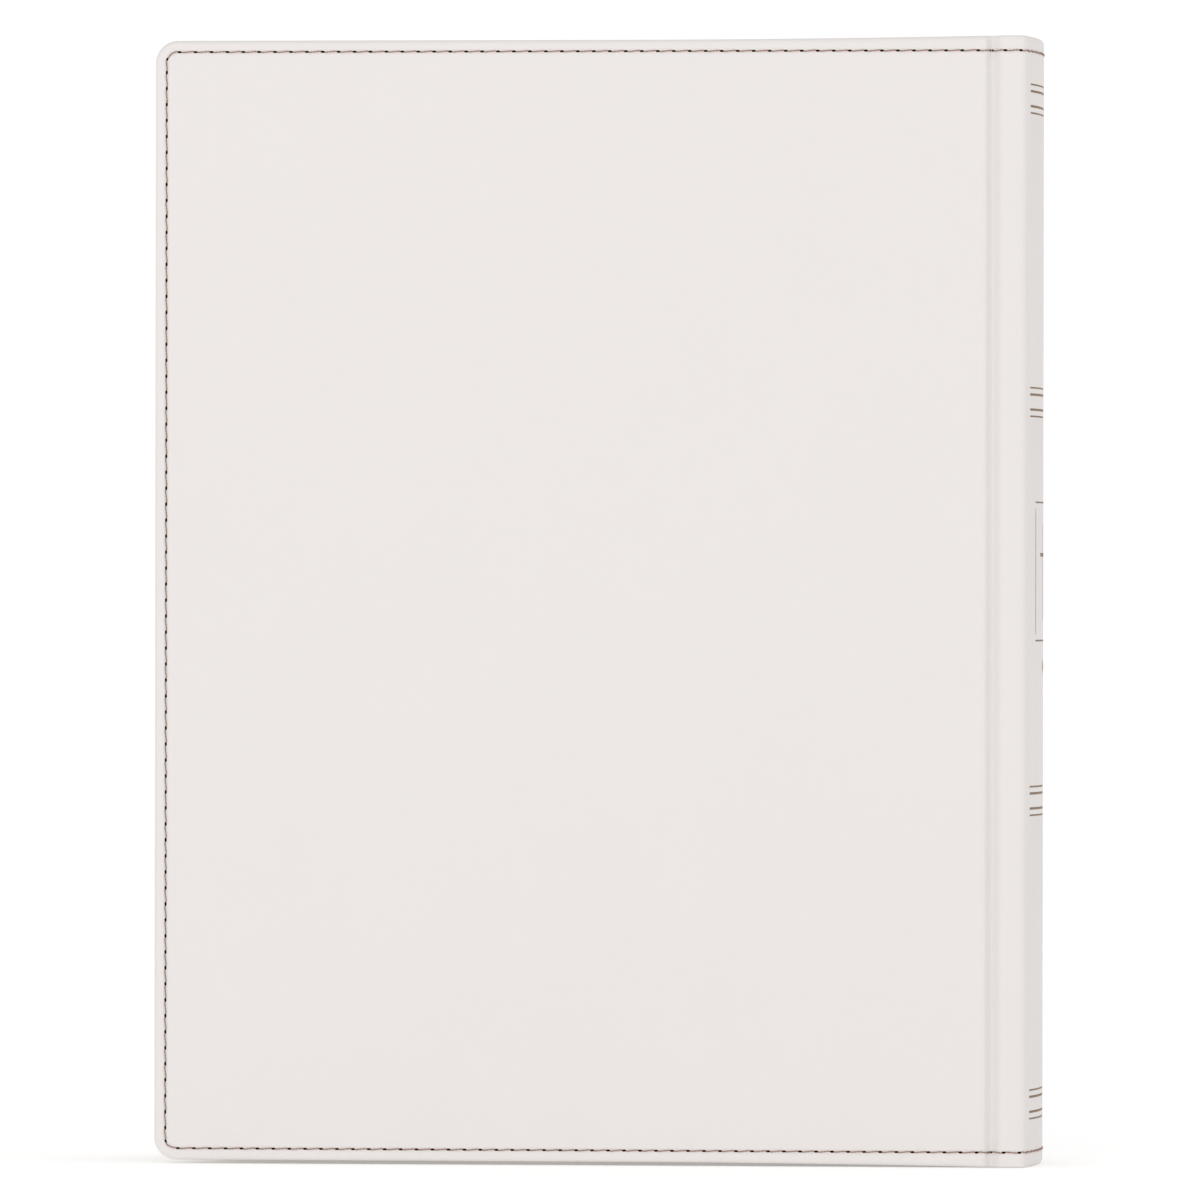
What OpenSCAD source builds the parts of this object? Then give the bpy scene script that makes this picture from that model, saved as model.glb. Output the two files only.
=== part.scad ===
// A bound bible: a hardcover case in white imitation leather around a sewn text block.
// It stands on its tail. X is the width, with the spine at +X, Y is the thickness, with the
// back cover at -Y, and Z is the height. Each half is drawn at the back and mirrored to the front.

/* [Book] */
// Height of the covers
book_height = 225.5; // [180:0.5:260]
// Width from the fore-edge to the outermost point of the spine
book_width = 177; // [140:1:210]
// Thickness over both closed covers
book_thickness = 40; // [32:1:52]

/* [Covers] */
// Thickness of the imitation leather
skin = 0.6; // [0.4:0.1:0.8]
// Thickness of the greyboard
board = 2.2; // [1.6:0.1:3]
// Width of leather turned over the edges of the board
turn_in = 15; // [8:1:20]
// Radius of the cover's two outer corners
cover_corner = 4.5; // [3:0.5:8]
// Rounding of the leather along the edges of the cover
edge_round = 0.8; // [0.4:0.1:1]
// How far the covers stand out past the pages
cover_square = 3.5; // [2.5:0.5:6]
// Thickness of the pasted endpaper and of the gauze flap under it
paste_sheet = 0.2; // [0.1:0.05:0.25]
// Width of the gauze flap glued to each board
flap_width = 25; // [15:1:35]

/* [Joint groove] */
// Width of the groove between the board and the shoulder
groove_width = 3.8; // [3:0.2:5]
// Depth of the groove
groove_depth = 1.3; // [1:0.1:2]
// Width of the flat shoulder between the groove and the spine's rounded edge
shoulder_flat = 3.15; // [1.5:0.01:4]

/* [Spine] */
// Radius of the rounded spine
spine_radius = 78; // [45:1:90]
// Radius of the edge between the shoulder and the spine
shoulder_round = 1.6; // [1.5:0.1:2.4]
// Thickness of the card that stiffens the spine
stiffener = 0.8; // [0.5:0.1:1.2]
// Thickness of the kraft paper lining on the back of the text block
lining = 0.35; // [0.2:0.05:0.5]
// Thickness of the gauze on the back of the text block
gauze = 0.25; // [0.15:0.05:0.3]
// Air gap of the hollow back, between the lining and the turned-in leather
hollow_gap = 0.2; // [0.1:0.1:2]

/* [Text block] */
// Number of sewn signatures
signature_count = 22; // [12:2:28]
// Air between two closed signatures
signature_gap = 0.055; // [0.03:0.005:0.1]
// Room for the endpapers between the text block and each cover
endpaper_room = 0.6; // [0.5:0.05:0.9]
// Distance from the fold at which a signature reaches its full thickness
fold_swell = 8; // [6:1:14]
// Radius of the rounded page corners at the fore-edge
page_corner = 5; // [2:0.5:10]
// Thickness of a flyleaf
flyleaf = 0.15; // [0.1:0.01:0.2]
// Diameter of the sewing thread
sewing_thread = 0.4; // [0.2:0.05:0.5]
// Number of sewing stations along the spine
sewing_stations = 6; // [4:1:8]

/* [Head and tail bands] */
// Diameter of the band's woven bead
bead = 1.4; // [1:0.1:1.8]
// Height of the band's glued tape
band_tape = 8; // [5:1:10]

/* [Stitching] */
// Distance of the stitch line from the edge
stitch_inset = 2.3; // [1.4:0.1:2.8]
// Diameter of the stitching thread
thread = 0.4; // [0.3:0.05:0.5]

/* [Foil] */
// Depth of the stamped foil
foil_depth = 0.1; // [0.05:0.01:0.2]
// Half-width of the lines across the spine
band_reach = 16; // [8:0.5:16]
// Distance of the outer groups of lines from the middle of the spine
outer_band = 100.3; // [70:0.1:104]
// Distance of the inner groups of lines from the middle of the spine
inner_band = 39.8; // [30:0.1:60]
// Width of a thick foil line
thick_line = 0.5; // [0.3:0.05:0.8]
// Width of a thin foil line
thin_line = 0.35; // [0.2:0.05:0.6]
// Half-width of the frame in the middle of the spine
frame_reach = 11.5; // [7:0.5:13]
// Height of the frame in the middle of the spine
frame_height = 28; // [20:1:36]
// Height of the cross on the front cover
cover_cross = 64; // [30:1:90]

/* [Hidden] */
// Small overlap that makes cuts run clean through a face
past = 1;
// Clearance between pieces of different bodies
clear = 0.05;
// Sides of a small round, of the spine's arc and of a quarter turn along an edge
small_fn = 48;
spine_fn = 360;
quarter_steps = 5;

half_thick = book_thickness / 2;
fore_x = -book_width / 2;
tail_z = cover_square;
head_z = book_height - cover_square;
middle_z = book_height / 2;

// Layers of a cover, as distances from the book's middle plane
board_out = half_thick - skin;
board_in = board_out - board;
cover_in = board_in - skin;
block_half = cover_in - endpaper_room;

// The spine's arc and its rounded shoulders
spine_x = book_width / 2 - spine_radius;
shoulder_y = half_thick - shoulder_round;
shoulder_x = spine_x + sqrt(pow(spine_radius - shoulder_round, 2) - pow(shoulder_y, 2));
shoulder_angle = atan2(shoulder_y, shoulder_x - spine_x);
groove_end = shoulder_x - shoulder_flat;
board_edge = groove_end - groove_width;
groove_low = 0.4;
groove_steps = 20;

// Layers of the spine, as radii, and where they end on each side
side_clear = 0.2;
card_in = skin + stiffener;
turned_radius = spine_radius - card_in - skin;
lining_radius = turned_radius - hollow_gap;
gauze_radius = lining_radius - lining - clear;
sewing_radius = gauze_radius - gauze - clear - sewing_thread / 2;
fold_radius = sewing_radius - sewing_thread / 2 - clear;
back_half = min(block_half, shoulder_y - skin) - side_clear;

// Signatures
pitch = 2 * block_half / signature_count;
signature_half = (pitch - signature_gap) / 2;
fold_round = pitch / 4;
function signature_y(n) = -block_half + (n - 0.5) * pitch;
function fold_x(n) = spine_x + sqrt(pow(fold_radius, 2) - pow(signature_y(n), 2)) - fold_round;
page_width = fold_x(1) - fore_x - cover_square;
flyleaf_y = block_half + (cover_in - paste_sheet - block_half) / 2 - flyleaf / 2;

// The window inside the turned-in leather, and the flap in it
window_x = fore_x + turn_in;
window_top = book_height - turn_in;
flap_x = board_edge - flap_width;
flap_margin = 5;

// The lining stops short of the pages, and the sewing starts past the band's tape
lining_margin = 2;
sewing_margin = 4;

// Where the foil lines lie on each side of a group's middle
thick_at = 1.5;
thin_at = 2.85;

// The ornament in the middle of the spine, with its cross in shares of the frame
frame_lift = 6;
crossing_share = 0.62;
arm_share = 0.5;
up_share = 0.26;
down_share = 0.5;
cross_line = 1.6 * thick_line;
lozenge_drop = 5;
lozenge_side = 2.2;

// Distance from the middle plane of the case's outer face, across the groove
function ease(t) = (1 - cos(180 * t)) / 2;
function dip(t) = t < groove_low ? ease(t / groove_low) : ease((1 - t) / (1 - groove_low));
function groove_y(t) = half_thick - groove_depth * dip(t);
function groove_x(t) = board_edge + t * groove_width;

function two_digits(n) = n < 10 ? str("0", n) : str(n);
function signature_name(n) = str("signature_", two_digits(n));

white_leather = [0.93, 0.91, 0.89];
grey_board = [0.62, 0.58, 0.52];
paper_white = [0.96, 0.94, 0.89];
endpaper_ivory = [0.95, 0.93, 0.88];
kraft = [0.72, 0.58, 0.42];
gauze_white = [0.92, 0.9, 0.84];
foil_gold = [0.62, 0.5, 0.33];
stitch_brown = [0.62, 0.47, 0.4];
band_cream = [0.9, 0.84, 0.72];

// ---- Shared shapes ----

// Draws its children on the back, or mirrored onto the front
module at_side(side) {
    mirror([0, side == "front" ? 1 : 0, 0]) children();
}

// A flat outline in X and Z with round corners of radius r at the fore-edge
module outline(x0, x1, z0, z1, r) {
    translate([x0 + r, z0]) square([x1 - x0 - r, z1 - z0]);
    translate([x0, z0 + r]) square([2 * r, z1 - z0 - 2 * r]);
    for (z = [z0 + r, z1 - r])
        translate([x0 + r, z]) circle(r = r, $fn = small_fn);
}

// A plain rectangle in X and Z
module rectangle(x0, x1, z0, z1) {
    translate([x0, z0]) square([x1 - x0, z1 - z0]);
}

// Turns a flat outline into a sheet between two distances from the middle plane
module sheet(y_out, y_in) {
    translate([0, -y_in, 0])
        rotate([90, 0, 0])
            linear_extrude(y_out - y_in) children();
}

// A quarter of a circle as points, from start_angle onwards
function quarter(x, y, r, start_angle) =
    [for (i = [0:quarter_steps])
        let (a = start_angle + i * 90 / quarter_steps) [x + r * cos(a), y + r * sin(a)]];

// One face-to-face cover with soft edges on three sides, before anything is cut out of it
module cover_blank() {
    e = edge_round;
    intersection() {
        sheet(half_thick, cover_in) outline(fore_x, board_edge, 0, book_height, cover_corner);
        linear_extrude(book_height)
            polygon(concat(
                [[board_edge, -cover_in]],
                quarter(fore_x + e, -cover_in - e, e, 90),
                quarter(fore_x + e, -half_thick + e, e, 180),
                [[board_edge, -half_thick]]));
        translate([fore_x, 0, 0])
            rotate([90, 0, 90])
                linear_extrude(book_width)
                    polygon(concat(
                        quarter(-cover_in - e, book_height - e, e, 0),
                        quarter(-half_thick + e, book_height - e, e, 90),
                        quarter(-half_thick + e, e, e, 180),
                        quarter(-cover_in - e, e, e, 270)));
    }
}

// A line of constant width that runs round three sides of a cover
module stitch_line(width) {
    a = stitch_inset - width / 2;
    b = stitch_inset + width / 2;
    difference() {
        outline(fore_x + a, board_edge, a, book_height - a, cover_corner - a);
        outline(fore_x + b, board_edge + past, b, book_height - b, cover_corner - b);
    }
}

// The spine's outline, drawn in from the outer face by inset
module spine_outline(inset, left = groove_end) {
    reach = book_width;
    translate([left, -half_thick + inset])
        square([shoulder_x - left, book_thickness - 2 * inset]);
    for (side = [-1, 1])
        translate([shoulder_x, side * shoulder_y])
            circle(r = shoulder_round - inset, $fn = small_fn);
    translate([spine_x, 0])
        intersection() {
            circle(r = spine_radius - inset, $fn = spine_fn);
            polygon([[0, 0],
                     [reach * cos(shoulder_angle), -reach * sin(shoulder_angle)],
                     [reach * cos(shoulder_angle), reach * sin(shoulder_angle)]]);
        }
}

// The case's wall round the spine, between two depths
module spine_wall(outer, inner) {
    difference() {
        spine_outline(outer);
        spine_outline(inner, groove_end - past);
    }
}

// A curved layer on the back of the text block, cut off at half_width on each side
module curved_layer(radius, thickness, half_width) {
    intersection() {
        translate([spine_x, 0])
            difference() {
                circle(r = radius, $fn = spine_fn);
                circle(r = radius - thickness, $fn = spine_fn);
            }
        translate([shoulder_x - spine_radius / 2, -half_width])
            square([spine_radius, 2 * half_width]);
    }
}

// A round thread or bead that follows the arc of the spine
module curved_rod(radius, rod_radius, half_width) {
    angle = asin(half_width / radius);
    translate([spine_x, 0, 0])
        rotate([0, 0, -angle])
            rotate_extrude(angle = 2 * angle, $fn = spine_fn)
                translate([radius, 0]) circle(r = rod_radius, $fn = small_fn);
}

// Draws its children in both end zones, at the tail and mirrored to the head
module at_both_ends() {
    children();
    translate([0, 0, book_height]) mirror([0, 0, 1]) children();
}

// A layer in the groove, between two depths below the case's outer face
module groove_layer(outer, inner) {
    ts = [for (i = [0:groove_steps]) i / groove_steps];
    polygon(concat(
        [for (t = ts) [groove_x(t), -groove_y(t) + outer]],
        [for (i = [groove_steps:-1:0]) [groove_x(ts[i]), -groove_y(ts[i]) + inner]]));
}

// The head and tail parts of the stitch line, as two slices of a flat section
module stitch_slices(width) {
    for (z = [stitch_inset, book_height - stitch_inset])
        translate([0, 0, z - width / 2])
            linear_extrude(width) children();
}

// Presses a drawing in Y and Z into the outer face of the spine, standing proud of it by proud
module on_spine(proud) {
    intersection() {
        linear_extrude(book_height)
            curved_layer(spine_radius + proud, proud + foil_depth, shoulder_y);
        translate([shoulder_x, 0, 0])
            rotate([90, 0, 90])
                linear_extrude(book_width) children();
    }
}

// ---- Spine of the case ----

// Lines across the spine: each group has two thick lines with a thin line outside each
module band_lines() {
    for (group = [-outer_band, -inner_band, inner_band, outer_band])
        for (side = [-1, 1]) {
            translate([-band_reach, middle_z + group + side * thick_at - thick_line / 2])
                square([2 * band_reach, thick_line]);
            translate([-band_reach, middle_z + group + side * thin_at - thin_line / 2])
                square([2 * band_reach, thin_line]);
        }
}

// A plain cross of thin arms, with its centre at the crossing
module cross(arm, up, down, line) {
    translate([-arm, -line / 2]) square([2 * arm, line]);
    translate([-line / 2, -down]) square([line, up + down]);
}

// A line frame with a cross in it and a small lozenge under it
module ornament_lines() {
    low = middle_z - frame_height / 2 + frame_lift;
    translate([0, low])
        difference() {
            translate([-frame_reach, 0]) square([2 * frame_reach, frame_height]);
            translate([thin_line - frame_reach, thin_line])
                square([2 * (frame_reach - thin_line), frame_height - 2 * thin_line]);
        }
    translate([0, low + frame_height * crossing_share])
        cross(frame_reach * arm_share, frame_height * up_share, frame_height * down_share, cross_line);
    translate([0, low - lozenge_drop])
        rotate(45) square(lozenge_side, center = true);
}

module spine_skin() {
    color(white_leather)
        difference() {
            union() {
                linear_extrude(book_height) spine_wall(0, skin);
                at_both_ends() {
                    linear_extrude(skin) spine_wall(skin, 2 * skin);
                    linear_extrude(skin) curved_layer(spine_radius - skin, stiffener + skin, back_half);
                    linear_extrude(turn_in)
                        curved_layer(spine_radius - card_in, skin, back_half);
                }
            }
            stitch_slices(thread) spine_wall(-past, thread);
            on_spine(past) band_lines();
            on_spine(past) ornament_lines();
        }
}

module spine_stiffener() {
    color(grey_board)
        translate([0, 0, skin])
            linear_extrude(book_height - 2 * skin)
                curved_layer(spine_radius - skin, stiffener, back_half);
}

module spine_foil_bands() {
    color(foil_gold) on_spine(0) band_lines();
}

module spine_foil_ornament() {
    color(foil_gold) on_spine(0) ornament_lines();
}

module spine_stitching() {
    color(stitch_brown) stitch_slices(thread) spine_wall(0, thread);
}

// ---- Back of the text block ----

module spine_lining() {
    color(kraft)
        translate([0, 0, tail_z + lining_margin])
            linear_extrude(head_z - tail_z - 2 * lining_margin)
                curved_layer(lining_radius, lining, back_half);
}

module spine_gauze() {
    color(gauze_white)
        translate([0, 0, turn_in + flap_margin])
            linear_extrude(book_height - 2 * (turn_in + flap_margin))
                curved_layer(gauze_radius, gauze, back_half);
}

module sewing_threads() {
    first = tail_z + band_tape + sewing_margin;
    step = (book_height - 2 * first) / (sewing_stations - 1);
    color(paper_white)
        for (i = [0:sewing_stations - 1])
            translate([0, 0, first + i * step])
                curved_rod(sewing_radius, sewing_thread / 2, back_half);
}

// A woven bead on the ends of the folds, with the tape that glues it to the back
module end_band() {
    tape = sewing_thread;
    translate([0, 0, tail_z - clear - bead / 2])
        curved_rod(fold_radius - bead / 4, bead / 2, back_half);
    translate([0, 0, tail_z - bead / 2])
        linear_extrude(band_tape + bead / 2)
            curved_layer(sewing_radius + tape / 2, tape, back_half);
}

module tail_band() {
    color(band_cream) end_band();
}

module head_band() {
    color(band_cream)
        translate([0, 0, book_height]) mirror([0, 0, 1]) end_band();
}

// ---- Joint grooves: the leather and paper that bend when a cover opens ----

module joint_skin(side) {
    color(white_leather)
        at_side(side)
            difference() {
                union() {
                    linear_extrude(book_height) groove_layer(0, skin);
                    at_both_ends() linear_extrude(turn_in) groove_layer(skin, 2 * skin);
                }
                stitch_slices(thread) groove_layer(-past, thread);
            }
}

module joint_stitching(side) {
    color(stitch_brown)
        at_side(side) stitch_slices(thread) groove_layer(0, thread);
}

// Endpaper that runs from the fold of the text block down into the groove and up to the board.
// Both of its ends are cut at a slant, by ramp, so that they meet their neighbours without a gap.
module joint_endpaper(side) {
    under = 2 * skin + clear;
    strip = paste_sheet + clear;
    low_y = half_thick - groove_depth - under;
    ts = [for (i = [0:groove_steps]) if (i / groove_steps >= groove_low) i / groove_steps];
    last = len(ts) - 1;
    ramp = strip * 0.8;
    board_end = min(low_y, board_in + strip);
    fold = [fold_x(1) + fold_round, -flyleaf_y - flyleaf - 2 * clear];
    color(endpaper_ivory)
        at_side(side)
            translate([0, 0, tail_z])
                linear_extrude(head_z - tail_z)
                    polygon(concat(
                        [[board_edge, -board_end]],
                        [for (t = ts) [groove_x(t), -groove_y(t) + under]],
                        [fold, fold + [-ramp, strip - ramp / 2]],
                        [for (i = [last:-1:0])
                            [groove_x(ts[i]) - (i == last ? ramp / 2 : 0), -groove_y(ts[i]) + under + strip]],
                        [[board_edge, strip - board_end]]));
}

// ---- Covers ----

module cover_board(side) {
    color(grey_board)
        at_side(side)
            sheet(board_out, board_in)
                outline(fore_x + skin, board_edge, skin, book_height - skin, cover_corner - skin);
}

module cover_skin(side) {
    color(white_leather)
        at_side(side)
            difference() {
                cover_blank();
                sheet(board_out, board_in)
                    outline(fore_x + skin, board_edge + past, skin, book_height - skin,
                            cover_corner - skin);
                sheet(board_in, cover_in - past)
                    rectangle(window_x, board_edge + past, turn_in, window_top);
                sheet(half_thick + past, half_thick - thread) stitch_line(thread);
                sheet(cover_in + thread, cover_in - past) stitch_line(thread);
                if (side == "front")
                    sheet(half_thick + past, half_thick - foil_depth) cover_cross_lines();
            }
}

module cover_stitching(side) {
    color(stitch_brown)
        at_side(side) {
            sheet(half_thick, half_thick - thread) stitch_line(thread);
            sheet(cover_in + thread, cover_in) stitch_line(thread);
        }
}

module gauze_flap(side) {
    color(gauze_white)
        at_side(side)
            sheet(board_in, board_in - paste_sheet)
                rectangle(flap_x, board_edge, turn_in + flap_margin, window_top - flap_margin);
}

// Endpaper pasted over the turned-in leather, and down onto the board and the gauze flap
module pastedown(side) {
    p = paste_sheet;
    color(endpaper_ivory)
        at_side(side)
            difference() {
                union() {
                    sheet(cover_in, cover_in - p)
                        outline(fore_x + cover_square, board_edge, tail_z, head_z, page_corner);
                    sheet(board_in, cover_in - p)
                        rectangle(window_x, board_edge, turn_in, window_top);
                }
                sheet(board_in - p, cover_in - p - past)
                    rectangle(window_x + p, flap_x - p, turn_in + p, window_top - p);
                sheet(board_in - 2 * p, cover_in - p - past)
                    rectangle(flap_x - 2 * p, board_edge + past, turn_in + p, window_top - p);
                sheet(board_in + past, board_in - p)
                    rectangle(flap_x, board_edge + past, turn_in + flap_margin,
                              window_top - flap_margin);
            }
}

module flyleaf_sheet(side) {
    color(endpaper_ivory)
        at_side(side)
            sheet(flyleaf_y + flyleaf, flyleaf_y)
                outline(fore_x + cover_square, fold_x(1), tail_z, head_z, page_corner);
}

// The cross that is stamped in the middle of the front cover. Its arms are a quarter of its
// height to each side, and it crosses a third of the way down.
module cover_cross_lines() {
    translate([(fore_x + board_edge) / 2, middle_z + cover_cross / 6])
        cross(cover_cross / 4, cover_cross / 3, cover_cross * 2 / 3, thick_line * 2);
}

module front_foil_cross() {
    color(foil_gold)
        at_side("front") sheet(half_thick, half_thick - foil_depth) cover_cross_lines();
}

// ---- Text block ----

// A folded and sewn gathering of leaves: slim at its fold, then of even thickness
module signature(n) {
    x1 = fold_x(n);
    x0 = x1 - page_width;
    h = signature_half;
    color(paper_white)
        intersection() {
            translate([0, signature_y(n), 0])
                linear_extrude(book_height) {
                    polygon([[x1, fold_round], [x1 - fold_swell, h], [x0 - past, h],
                             [x0 - past, -h], [x1 - fold_swell, -h], [x1, -fold_round]]);
                    translate([x1, 0]) circle(r = fold_round, $fn = small_fn);
                }
            sheet(book_thickness, -book_thickness)
                outline(x0, x1 + past, tail_z, head_z, page_corner);
        }
}

spine_skin();
spine_stiffener();
spine_foil_bands();
spine_foil_ornament();
spine_stitching();
spine_lining();
spine_gauze();
sewing_threads();
head_band();
tail_band();
for (side = ["back", "front"]) {
    joint_skin(side);
    joint_stitching(side);
    joint_endpaper(side);
    cover_board(side);
    cover_skin(side);
    cover_stitching(side);
    gauze_flap(side);
    pastedown(side);
    flyleaf_sheet(side);
}
front_foil_cross();
for (n = [1:signature_count])
    signature(n);
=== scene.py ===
import math
import random

import bmesh
import bpy
import numpy as np
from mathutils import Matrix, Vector


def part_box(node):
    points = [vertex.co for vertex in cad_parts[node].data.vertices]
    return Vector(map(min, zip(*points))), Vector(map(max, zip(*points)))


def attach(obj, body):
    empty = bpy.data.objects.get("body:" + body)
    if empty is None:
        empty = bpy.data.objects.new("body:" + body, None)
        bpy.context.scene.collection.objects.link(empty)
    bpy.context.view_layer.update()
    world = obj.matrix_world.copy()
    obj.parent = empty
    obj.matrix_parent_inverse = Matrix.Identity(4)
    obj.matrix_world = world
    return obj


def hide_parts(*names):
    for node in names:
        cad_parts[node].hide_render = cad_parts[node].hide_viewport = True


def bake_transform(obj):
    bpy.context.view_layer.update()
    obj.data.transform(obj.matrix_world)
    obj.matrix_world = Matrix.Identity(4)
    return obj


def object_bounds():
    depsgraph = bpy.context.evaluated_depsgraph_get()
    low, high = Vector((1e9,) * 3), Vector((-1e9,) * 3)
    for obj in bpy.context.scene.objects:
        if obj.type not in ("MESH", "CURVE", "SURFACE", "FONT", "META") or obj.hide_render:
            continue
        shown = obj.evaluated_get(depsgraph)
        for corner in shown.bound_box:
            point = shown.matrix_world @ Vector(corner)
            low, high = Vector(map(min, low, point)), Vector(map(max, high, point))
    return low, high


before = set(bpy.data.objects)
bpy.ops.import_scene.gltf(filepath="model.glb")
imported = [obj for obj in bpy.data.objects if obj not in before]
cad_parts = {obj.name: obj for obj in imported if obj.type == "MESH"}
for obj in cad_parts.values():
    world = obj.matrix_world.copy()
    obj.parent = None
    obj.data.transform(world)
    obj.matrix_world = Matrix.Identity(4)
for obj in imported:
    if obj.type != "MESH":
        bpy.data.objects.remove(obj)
cad_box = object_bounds()

# ---- Camera ----
# A long lens at the height of the book's middle, turned 5 degrees towards the spine.


def mm(value):
    """Every length below is in metres, and mm gives one from a size in millimetres."""
    return value * 0.001


def aim_camera():
    middle = Vector((-0.00068, 0.0, (cad_box[0][2] + cad_box[1][2]) / 2 + mm(0.16)))
    turn = math.radians(5.0)
    roll = math.radians(-0.09)
    distance = 2.5
    view_width = 0.24155
    data = bpy.data.cameras.new("camera")
    data.sensor_width = 36.0
    data.lens = data.sensor_width * distance / view_width
    data.clip_end = 50.0
    camera = bpy.data.objects.new("camera", data)
    camera.location = middle + distance * Vector((math.sin(turn), -math.cos(turn), 0.0))
    camera.rotation_euler = (math.radians(90.0), roll, turn)
    bpy.context.scene.collection.objects.link(camera)
    bpy.context.scene.camera = camera


aim_camera()

# ---- Spine card ----
# A thin card of millboard pressed from waste paper, with faint fibres in it. It stiffens the spine
# and is hidden under the leather.


class Wire:
    """A socket in a node tree that can be used in sums, products and comparisons."""

    def __init__(self, tree, socket):
        self.tree = tree
        self.socket = socket

    def math(self, operation, *others):
        node = self.tree.nodes.new("ShaderNodeMath")
        node.operation = operation
        for socket, value in zip(node.inputs, others):
            if isinstance(value, Wire):
                self.tree.links.new(value.socket, socket)
            else:
                socket.default_value = value
        return Wire(self.tree, node.outputs[0])

    def __add__(self, other):
        return self.math("ADD", self, other)

    def __radd__(self, other):
        return self.math("ADD", other, self)

    def __sub__(self, other):
        return self.math("SUBTRACT", self, other)

    def __rsub__(self, other):
        return self.math("SUBTRACT", other, self)

    def __mul__(self, other):
        return self.math("MULTIPLY", self, other)

    def __rmul__(self, other):
        return self.math("MULTIPLY", other, self)

    def __gt__(self, other):
        return self.math("GREATER_THAN", self, other)


class Look:
    """A procedural material: its tree, its surface shader and the nodes that feed it."""

    def __init__(self, name):
        self.material = bpy.data.materials.new(name)
        self.material.use_nodes = True
        self.tree = self.material.node_tree
        self.shader = self.tree.nodes["Principled BSDF"]
        self.place = self.node("ShaderNodeTexCoord", output="Object")

    def node(self, kind, settings=None, output=0, **inputs):
        """Adds any node: settings are its properties, and inputs are values or wires by socket."""
        node = self.tree.nodes.new(kind)
        for key, value in (settings or {}).items():
            setattr(node, key, value)
        for key, value in inputs.items():
            socket = node.inputs[int(key[1:]) if key[0] == "i" and key[1:].isdigit() else key]
            self.feed(socket, value)
        return Wire(self.tree, node.outputs[output])

    def feed(self, socket, value):
        if isinstance(value, Wire):
            self.tree.links.new(value.socket, socket)
        elif isinstance(value, tuple) and len(value) == 3 and len(socket.default_value) == 4:
            socket.default_value = (*value, 1)
        else:
            socket.default_value = value

    def scaled(self, size, stretch=(1, 1, 1)):
        """The place on the piece in units of `size` metres, stretched on each axis."""
        scale = tuple(1 / (size * s) for s in stretch)
        return self.node("ShaderNodeVectorMath", {"operation": "MULTIPLY"}, i0=self.place, i1=scale)

    def noise(self, size, detail=3.0, stretch=(1, 1, 1)):
        """Noise from 0 to 1 whose features are about `size` metres across, times stretch."""
        return self.node("ShaderNodeTexNoise", Vector=self.scaled(size, stretch), Scale=1.0,
                         Detail=detail, Roughness=0.55)

    def cells(self, size):
        """Distance to the nearest of many cell centres about `size` metres apart."""
        return self.node("ShaderNodeTexVoronoi", {"feature": "SMOOTH_F1"}, Vector=self.scaled(size),
                         Scale=1.0)

    def axis(self, name):
        """One coordinate of the place on the piece, in metres."""
        return self.node("ShaderNodeSeparateXYZ", output="XYZ".index(name), Vector=self.place)

    def mix(self, factor, first, second):
        """A colour between two colours."""
        return self.node("ShaderNodeMix", {"data_type": "RGBA"}, output=2,
                         Factor=factor, i6=first, i7=second)

    def bump(self, height, depth, strength=1.0):
        """Tilts the surface for a height from 0 to 1 that is `depth` metres deep."""
        self.feed(self.shader.inputs["Normal"],
                  self.node("ShaderNodeBump", Strength=strength, Distance=depth, Height=height))

    def surface(self, color, roughness, **others):
        self.feed(self.shader.inputs["Base Color"], color)
        self.feed(self.shader.inputs["Roughness"], roughness)
        for key, value in others.items():
            self.feed(self.shader.inputs[key.replace("_", " ")], value)
        return self.material


def coat_solids(material, *names):
    """Gives solids that keep their own shape a procedural material."""
    for name in names:
        for material_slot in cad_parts[name].material_slots:
            material_slot.material = material


def greyboard():
    look = Look("greyboard")
    fibres = look.noise(mm(0.5), detail=5.0, stretch=(3, 1, 1))
    flecks = look.noise(mm(1.6), detail=2.0)
    tone = look.mix(fibres, (0.30, 0.26, 0.21), (0.46, 0.41, 0.35))
    look.bump(fibres, mm(0.05), strength=0.5)
    return look.surface(look.mix((flecks - 0.6) * 3.0, tone, (0.20, 0.17, 0.14)), 0.92)


millboard = greyboard()
coat_solids(millboard, "spine_stiffener")

# ---- The case's section ----
# One sheet of leather goes all round: flat over the back board, down into the groove that lets
# the cover fold, up over the flat shoulder, round the spine and the same again at the front.


class Case:
    low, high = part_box("back_cover_skin")
    fore_x = low[0]
    board_edge = high[0]
    height = high[2]
    half_thick = -low[1]
    cover_in = -high[1]
    cover_thick = half_thick - cover_in
    corner = mm(4.5)
    skin = mm(0.6)
    card = mm(0.8)
    turn_in = mm(15)
    groove_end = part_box("back_joint_skin")[1][0]
    groove_width = groove_end - board_edge
    groove_depth = mm(1.3)
    groove_low = 0.42
    groove_bottom = board_edge + groove_low * groove_width
    spine_radius = mm(78)
    spine_x = cad_box[1][0] - spine_radius
    shoulder_round = mm(1.6)
    shoulder_y = half_thick - shoulder_round
    shoulder_x = spine_x + math.sqrt((spine_radius - shoulder_round) ** 2 - shoulder_y ** 2)
    shoulder_seam = groove_end + mm(0.9)
    strip_end = board_edge - mm(1.2)
    edge_round = mm(0.95)
    card_half = mm(16)

    @classmethod
    def outer_y(cls, x):
        """Distance of the outer face from the middle plane, on the board and across the groove."""
        t = np.clip((x - cls.board_edge) / cls.groove_width, 0, 1)
        fall = (1 - np.cos(np.pi * t / cls.groove_low)) / 2
        rise = (1 - np.cos(np.pi * (1 - t) / (1 - cls.groove_low))) / 2
        return cls.half_thick - cls.groove_depth * np.where(t < cls.groove_low, fall, rise)


def soft_step(t):
    t = np.clip(t, 0.0, 1.0)
    return t * t * (3 - 2 * t)


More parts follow.
